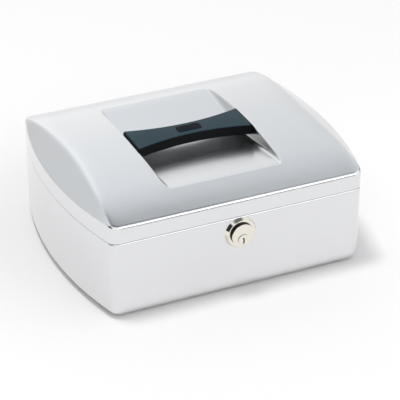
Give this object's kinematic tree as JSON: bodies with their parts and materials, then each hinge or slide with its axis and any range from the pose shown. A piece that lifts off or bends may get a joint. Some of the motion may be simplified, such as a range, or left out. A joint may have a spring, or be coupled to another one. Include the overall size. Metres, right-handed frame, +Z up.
{
  "type": "cash box",
  "caption": "Lockable steel cash box with bowed sides, a vaulted hinged lid with a recessed carrying handle, a front key lock and a lift-out coin tray.",
  "frame": {"origin": "on the surface it stands on, under the middle of the whole box, lock and hinges included", "axes": "+X to the right as seen from the lock side, +Y from the lock to the hinges, +Z up"},
  "size_m": [0.25, 0.2159, 0.1004],
  "materials": {
    "silver_lacquer": "satin silver lacquer",
    "black_rubber": "matt",
    "zinc_steel": "zinc plated",
    "nickel": "polished nickel plate",
    "brass": "turned",
    "grip_plastic": "satin",
    "plate_plastic": "satin, bare",
    "tray_plastic": "fine grain"
  },
  "bodies": {
    "base": {"base_shell": "silver_lacquer", "rubber_feet": "black_rubber", "base_leaf_left": "zinc_steel", "base_leaf_right": "zinc_steel", "base_leaf_rivets": "zinc_steel", "hinge_pins": "zinc_steel", "lock_bezel": "nickel", "lock_housing": "nickel", "lock_nut": "zinc_steel", "driver_pins": "brass", "pin_springs": "zinc_steel", "chamber_cap": "brass", "tray_brackets": "zinc_steel"},
    "lid": {"lid_shell": "silver_lacquer", "handle": "grip_plastic", "handle_plate": "plate_plastic", "handle_screws": "zinc_steel", "lid_leaf_left": "zinc_steel", "lid_leaf_right": "zinc_steel", "lid_leaf_rivets": "zinc_steel", "striker": "zinc_steel"},
    "key_plug": {"lock_plug": "nickel", "key_pins": "brass", "lock_cam": "zinc_steel", "cam_screw": "zinc_steel"},
    "coin_tray": {"coin_tray": "tray_plastic"}
  },
  "joints": [
    {"name": "lid_hinge", "type": "hinge", "parent": "base", "child": "lid", "pos_m": [0, 0.10535, 0.0698], "axis": [-1, 0, 0], "range_deg": [0, 105]},
    {"name": "key_turn", "type": "hinge", "parent": "base", "child": "key_plug", "pos_m": [0, -0.10795, 0.0512], "axis": [0, 1, 0], "range_deg": [0, 180]},
    {"name": "tray_lift", "type": "slide", "parent": "base", "child": "coin_tray", "axis": [0, 0, 1], "range_m": [0, 0.012]}
  ]
}
